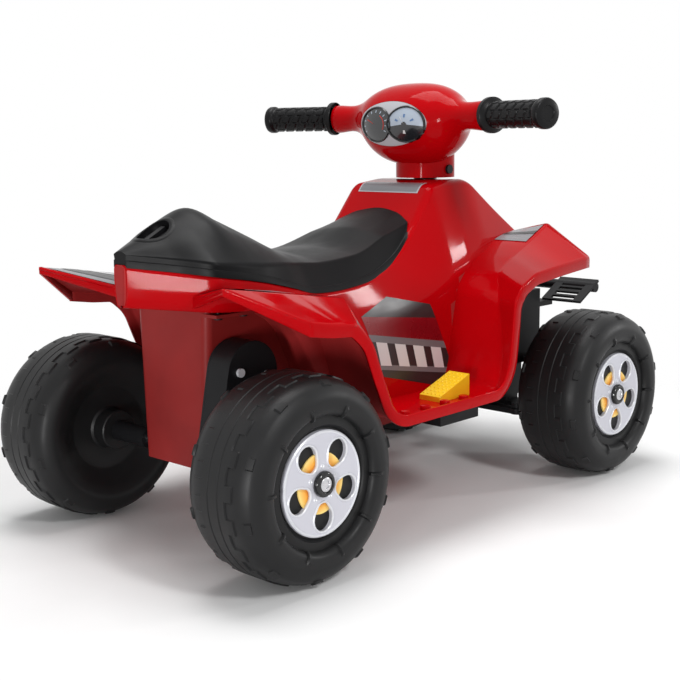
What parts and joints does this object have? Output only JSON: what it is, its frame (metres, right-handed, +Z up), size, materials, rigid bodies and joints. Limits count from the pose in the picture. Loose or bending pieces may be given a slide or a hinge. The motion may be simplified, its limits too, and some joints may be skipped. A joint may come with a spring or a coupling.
{
  "type": "kids quad bike",
  "caption": "Battery ride-on quad bike for a small child: moulded body and saddle, steered front wheels, geared rear wheel, foot pedal and swept handlebar.",
  "frame": {"origin": "on the ground under the middle of the wheelbase, on the centre plane", "axes": "+X forward, +Y to the rider's left, +Z up"},
  "size_m": [0.656, 0.4046, 0.439],
  "materials": {
    "body_red": "gloss moulded red",
    "hull_red": "grained dark red",
    "seat_black": "satin black",
    "black_plastic": "grained black",
    "wheel_black": "blow-moulded black",
    "rim_silver": "silver paint on plastic",
    "disc_orange": "orange",
    "steel": "zinc plated",
    "grip_black": "ribbed black",
    "dash_grey": "printed grey",
    "lens_clear": "clear",
    "pedal_yellow": "bright yellow",
    "gear_white": "nylon",
    "battery_grey": "moulded grey",
    "switch_black": "moulded black",
    "cable_black": "smooth"
  },
  "bodies": {
    "chassis": {"body_shell": "body_red", "lower_hull": "hull_red", "front_carrier": "black_plastic", "front_bumper": "black_plastic", "rear_axle": "steel", "rear_axle_nuts": "steel", "axle_spacer": "black_plastic", "gearbox_inner": "black_plastic", "gearbox_outer": "black_plastic", "gear_pins": "steel", "gearbox_screws": "steel", "motor": "steel", "battery": "battery_grey", "pedal_pin": "steel", "pedal_housing": "black_plastic", "pedal_switch": "switch_black", "pedal_spring": "steel", "wiring_loom": "cable_black", "column_bushes": "black_plastic", "kingpins": "steel", "body_screws": "steel", "bumper_screws": "steel"},
    "steering": {"steering_column": "steel", "steering_neck": "body_red", "pod_front_cover": "body_red", "pod_rear_cover": "body_red", "dash_panel": "dash_grey", "gauge_lenses": "lens_clear", "grip_left": "grip_black", "grip_right": "grip_black", "clamp_bolt": "steel"},
    "link": {"steering_link": "black_plastic"},
    "knuckle_left": {"knuckle_left": "black_plastic", "stub_axle_left": "steel"},
    "knuckle_right": {"knuckle_right": "black_plastic", "stub_axle_right": "steel"},
    "wheel_front_left": {"tyre_front_left": "wheel_black", "rim_trim_front_left": "rim_silver", "brake_disc_front_left": "disc_orange", "hub_cap_front_left": "black_plastic"},
    "wheel_front_right": {"tyre_front_right": "wheel_black", "rim_trim_front_right": "rim_silver", "brake_disc_front_right": "disc_orange", "hub_cap_front_right": "black_plastic"},
    "wheel_rear_left": {"tyre_rear_left": "wheel_black", "rim_trim_rear_left": "rim_silver", "brake_disc_rear_left": "disc_orange", "hub_cap_rear_left": "black_plastic"},
    "wheel_rear_right": {"tyre_rear_right": "wheel_black", "rim_trim_rear_right": "rim_silver", "brake_disc_rear_right": "disc_orange", "hub_cap_rear_right": "black_plastic", "output_gear": "gear_white"},
    "gear_one": {"first_gear": "gear_white"},
    "gear_two": {"second_gear": "gear_white"},
    "motor_rotor": {"motor_pinion": "steel"},
    "pedal": {"pedal": "pedal_yellow"},
    "plunger": {"switch_plunger": "switch_black"},
    "seat": {"seat": "seat_black"},
    "seat_lock": {"seat_lock": "black_plastic"}
  },
  "joints": [
    {"name": "steering_turn", "type": "hinge", "parent": "chassis", "child": "steering", "pos_m": [0.123, 0, 0.2], "axis": [0, 0, 1], "range_deg": [-25, 25]},
    {"name": "knuckle_left_turn", "type": "hinge", "parent": "chassis", "child": "knuckle_left", "pos_m": [0.236, 0.075, 0.09], "axis": [0, 0, 1], "range_deg": [-25, 25]},
    {"name": "knuckle_right_turn", "type": "hinge", "parent": "chassis", "child": "knuckle_right", "pos_m": [0.236, -0.075, 0.09], "axis": [0, 0, 1], "range_deg": [-25, 25]},
    {"name": "link_swing", "type": "hinge", "parent": "steering", "child": "link", "pos_m": [0.088, 0, 0.0625], "axis": [0, 0, 1], "range_deg": [-25, 25]},
    {"name": "front_left_spin", "type": "hinge", "parent": "knuckle_left", "child": "wheel_front_left", "pos_m": [0.236, 0.149, 0.092], "axis": [0, 1, 0], "continuous": true},
    {"name": "front_right_spin", "type": "hinge", "parent": "knuckle_right", "child": "wheel_front_right", "pos_m": [0.236, -0.149, 0.092], "axis": [0, 1, 0], "continuous": true},
    {"name": "rear_left_spin", "type": "hinge", "parent": "chassis", "child": "wheel_rear_left", "pos_m": [-0.236, 0.149, 0.092], "axis": [0, 1, 0], "continuous": true},
    {"name": "rear_right_spin", "type": "hinge", "parent": "chassis", "child": "wheel_rear_right", "pos_m": [-0.236, -0.149, 0.092], "axis": [0, 1, 0], "continuous": true},
    {"name": "gear_two_spin", "type": "hinge", "parent": "chassis", "child": "gear_two", "pos_m": [-0.23004, -0.07, 0.12268], "axis": [0, 1, 0], "continuous": true},
    {"name": "gear_one_spin", "type": "hinge", "parent": "chassis", "child": "gear_one", "pos_m": [-0.22527, -0.07, 0.14722], "axis": [0, 1, 0], "continuous": true},
    {"name": "motor_spin", "type": "hinge", "parent": "chassis", "child": "motor_rotor", "pos_m": [-0.2205, -0.07, 0.17176], "axis": [0, 1, 0], "continuous": true},
    {"name": "pedal_press", "type": "hinge", "parent": "chassis", "child": "pedal", "pos_m": [-0.022, -0.131, 0.11404], "axis": [0, 1, 0], "range_deg": [0, 10], "stiffness_Nm_per_rad": 1, "springref_deg": -5.73, "deforming": ["pedal_spring"]},
    {"name": "plunger_press", "type": "slide", "parent": "chassis", "child": "plunger", "axis": [0, 0, -1], "range_m": [0, 0.0026]},
    {"name": "seat_lift", "type": "slide", "parent": "chassis", "child": "seat", "axis": [0, 0, 1], "range_m": [0, 0.15]},
    {"name": "lock_turn", "type": "hinge", "parent": "seat", "child": "seat_lock", "pos_m": [-0.26391, 0, 0.30051], "axis": [-0.4695, 0, 0.8829], "range_deg": [0, 90]}
  ],
  "couplings": [
    {"joint": "knuckle_left_turn", "follows": "steering_turn", "ratio": 1},
    {"joint": "knuckle_right_turn", "follows": "steering_turn", "ratio": 1},
    {"joint": "link_swing", "follows": "steering_turn", "ratio": -1},
    {"joint": "gear_two_spin", "follows": "rear_right_spin", "ratio": -4},
    {"joint": "gear_one_spin", "follows": "rear_right_spin", "ratio": 16},
    {"joint": "motor_spin", "follows": "rear_right_spin", "ratio": -64},
    {"joint": "plunger_press", "follows": "pedal_press", "m_per_rad": 0.014}
  ]
}
